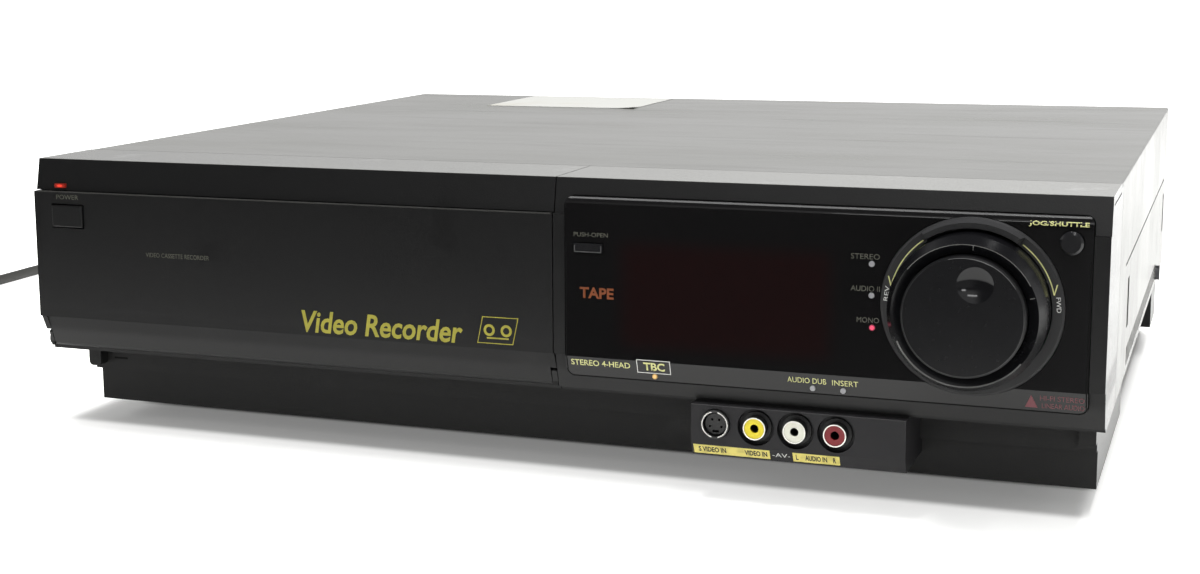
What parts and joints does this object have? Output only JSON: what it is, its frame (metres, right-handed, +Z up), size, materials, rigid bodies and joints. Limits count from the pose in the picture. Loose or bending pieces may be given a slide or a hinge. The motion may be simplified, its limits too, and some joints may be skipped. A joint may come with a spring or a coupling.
{
  "type": "video cassette recorder",
  "caption": "Front-loading video cassette recorder with a drop-down front door, smoked display window, editing jog dial in a shuttle ring, front jacks and a mains lead.",
  "frame": {"origin": "under the middle of the case, jog dial and rear jacks included, on the surface the feet stand on", "axes": "+X to the right seen from the front, +Y to the rear, +Z up; the front faces -Y"},
  "size_m": [0.7764, 0.5045, 0.119],
  "materials": {
    "front_plastic": "fine textured satin moulding",
    "skirt_plastic": "fine textured satin moulding",
    "cover_paint": "fine satin baked paint with light scuffs",
    "panel_paint": "satin",
    "bright_steel": "zinc plated",
    "screw_steel": "black plated",
    "foot_rubber": "matt",
    "window_gloss": "polished smoked acrylic",
    "dial_gloss": "polished",
    "dial_satin": "satin",
    "ring_satin": "satin",
    "key_plastic": "satin",
    "jack_metal": "nickel plated",
    "jack_yellow": "moulded in colour",
    "jack_white": "moulded in colour",
    "jack_red": "moulded in colour",
    "socket_black": "moulded",
    "board_green": "solder resist over fibre board",
    "supply_brown": "paper phenolic board",
    "display_glass": "clear",
    "pipe_clear": "clear moulding",
    "pipe_red": "lit red",
    "pipe_amber": "lit amber",
    "drum_aluminium": "turned and polished",
    "roller_rubber": "ground",
    "reel_plastic": "moulded",
    "cord_vinyl": "satin vinyl",
    "plug_vinyl": "satin vinyl"
  },
  "bodies": {
    "case": {"base_tray": "skirt_plastic", "feet": "foot_rubber", "front_skirt": "skirt_plastic", "top_cover": "cover_paint", "cover_screws": "screw_steel", "rear_panel": "panel_paint", "bezel_left": "front_plastic", "bezel_right": "front_plastic", "display_window": "window_gloss", "display_board": "board_green", "fluorescent_display": "display_glass", "unlit_light_pipes": "pipe_clear", "red_light_pipe": "pipe_red", "amber_light_pipe": "pipe_amber", "power_lamp": "pipe_red", "dial_surround": "ring_satin", "dial_encoder": "socket_black", "control_panel": "skirt_plastic", "jack_housing": "front_plastic", "jack_shells": "jack_metal", "yellow_inserts": "jack_yellow", "white_inserts": "jack_white", "red_inserts": "jack_red", "s_video_jacks": "socket_black", "tuner": "bright_steel", "deck_plate": "bright_steel", "carriage_sides": "bright_steel", "lower_drum": "drum_aluminium", "capstan_motor": "bright_steel", "audio_control_head": "bright_steel", "main_board": "board_green", "power_supply": "supply_brown", "cord_strain_relief": "cord_vinyl", "power_cord": "cord_vinyl", "cord_coil": "cord_vinyl", "power_plug": "plug_vinyl"},
    "front_door": {"front_door": "front_plastic"},
    "cassette_flap": {"cassette_flap": "front_plastic"},
    "power_button": {"power_button": "key_plastic"},
    "mode_button": {"mode_button": "dial_gloss"},
    "door_release_button": {"door_release_button": "dial_gloss"},
    "left_level_knob": {"left_level_knob": "key_plastic"},
    "right_level_knob": {"right_level_knob": "key_plastic"},
    "shuttle_ring": {"shuttle_ring": "dial_gloss"},
    "jog_dial": {"jog_dial": "dial_satin"},
    "cassette_carriage": {"cassette_carriage": "bright_steel"},
    "upper_drum": {"upper_drum": "drum_aluminium"},
    "capstan": {"capstan": "bright_steel"},
    "supply_reel_table": {"supply_reel_table": "reel_plastic"},
    "takeup_reel_table": {"takeup_reel_table": "reel_plastic"},
    "pinch_roller_arm": {"pinch_roller_arm": "bright_steel"},
    "pinch_roller": {"pinch_roller": "roller_rubber"},
    "tension_arm": {"tension_arm": "bright_steel"},
    "eject_key": {"eject_key": "key_plastic"},
    "rewind_key": {"rewind_key": "key_plastic"},
    "stop_key": {"stop_key": "key_plastic"},
    "play_key": {"play_key": "key_plastic"},
    "fast_forward_key": {"fast_forward_key": "key_plastic"},
    "pause_key": {"pause_key": "key_plastic"},
    "record_key": {"record_key": "key_plastic"}
  },
  "joints": [
    {"name": "front_door_hinge", "type": "hinge", "parent": "case", "child": "front_door", "pos_m": [0, -0.17275, 0.042], "axis": [1, 0, 0], "range_deg": [0, 90]},
    {"name": "cassette_flap_hinge", "type": "hinge", "parent": "case", "child": "cassette_flap", "pos_m": [0, -0.1643, 0.096], "axis": [1, 0, 0], "range_deg": [0, 75], "stiffness_Nm_per_rad": 0.01},
    {"name": "eject_key_press", "type": "slide", "parent": "case", "child": "eject_key", "axis": [0, 1, 0], "range_m": [0, 0.0015], "stiffness_N_per_m": 300},
    {"name": "rewind_key_press", "type": "slide", "parent": "case", "child": "rewind_key", "axis": [0, 1, 0], "range_m": [0, 0.0015], "stiffness_N_per_m": 300},
    {"name": "stop_key_press", "type": "slide", "parent": "case", "child": "stop_key", "axis": [0, 1, 0], "range_m": [0, 0.0015], "stiffness_N_per_m": 300},
    {"name": "play_key_press", "type": "slide", "parent": "case", "child": "play_key", "axis": [0, 1, 0], "range_m": [0, 0.0015], "stiffness_N_per_m": 300},
    {"name": "fast_forward_key_press", "type": "slide", "parent": "case", "child": "fast_forward_key", "axis": [0, 1, 0], "range_m": [0, 0.0015], "stiffness_N_per_m": 300},
    {"name": "pause_key_press", "type": "slide", "parent": "case", "child": "pause_key", "axis": [0, 1, 0], "range_m": [0, 0.0015], "stiffness_N_per_m": 300},
    {"name": "record_key_press", "type": "slide", "parent": "case", "child": "record_key", "axis": [0, 1, 0], "range_m": [0, 0.0015], "stiffness_N_per_m": 300},
    {"name": "power_button_press", "type": "slide", "parent": "case", "child": "power_button", "axis": [0, 1, 0], "range_m": [0, 0.0015], "stiffness_N_per_m": 300},
    {"name": "mode_button_press", "type": "slide", "parent": "case", "child": "mode_button", "axis": [0, 1, 0], "range_m": [0, 0.001], "stiffness_N_per_m": 300},
    {"name": "door_release_press", "type": "slide", "parent": "case", "child": "door_release_button", "axis": [0, 1, 0], "range_m": [0, 0.001], "stiffness_N_per_m": 300},
    {"name": "left_level_turn", "type": "hinge", "parent": "case", "child": "left_level_knob", "pos_m": [-0.0145, -0.1708, 0.053], "axis": [0, 1, 0], "range_deg": [-150, 150]},
    {"name": "right_level_turn", "type": "hinge", "parent": "case", "child": "right_level_knob", "pos_m": [0.004, -0.1708, 0.053], "axis": [0, 1, 0], "range_deg": [-150, 150]},
    {"name": "shuttle_turn", "type": "hinge", "parent": "case", "child": "shuttle_ring", "pos_m": [0.17016, -0.1858, 0.08], "axis": [0, 1, 0], "range_deg": [-75, 75], "stiffness_Nm_per_rad": 0.03},
    {"name": "jog_turn", "type": "hinge", "parent": "case", "child": "jog_dial", "pos_m": [0.17016, -0.1858, 0.08], "axis": [0, 1, 0], "continuous": true},
    {"name": "carriage_down", "type": "slide", "parent": "case", "child": "cassette_carriage", "axis": [0, 0, -1], "range_m": [0, 0.018]},
    {"name": "drum_spin", "type": "hinge", "parent": "case", "child": "upper_drum", "pos_m": [-0.09, 0.0392, 0.05], "axis": [0, -0.0872, 0.9962], "continuous": true},
    {"name": "capstan_spin", "type": "hinge", "parent": "case", "child": "capstan", "pos_m": [-0.032, -0.0038, 0.05], "axis": [0, 0, 1], "continuous": true},
    {"name": "supply_reel_spin", "type": "hinge", "parent": "case", "child": "supply_reel_table", "pos_m": [-0.136, -0.0858, 0.05], "axis": [0, 0, 1], "continuous": true},
    {"name": "takeup_reel_spin", "type": "hinge", "parent": "case", "child": "takeup_reel_table", "pos_m": [-0.044, -0.0858, 0.05], "axis": [0, 0, 1], "continuous": true},
    {"name": "pinch_arm_swing", "type": "hinge", "parent": "case", "child": "pinch_roller_arm", "pos_m": [0, 0.0142, 0.052], "axis": [0, 0, 1], "range_deg": [0, 28], "stiffness_Nm_per_rad": 0.02},
    {"name": "pinch_roller_spin", "type": "hinge", "parent": "pinch_roller_arm", "child": "pinch_roller", "pos_m": [-0.02644, 0.0124, 0.06], "axis": [0, 0, 1], "continuous": true},
    {"name": "tension_arm_swing", "type": "hinge", "parent": "case", "child": "tension_arm", "pos_m": [-0.16, -0.0078, 0.052], "axis": [0, 0, 1], "range_deg": [-12, 12], "stiffness_Nm_per_rad": 0.01}
  ]
}
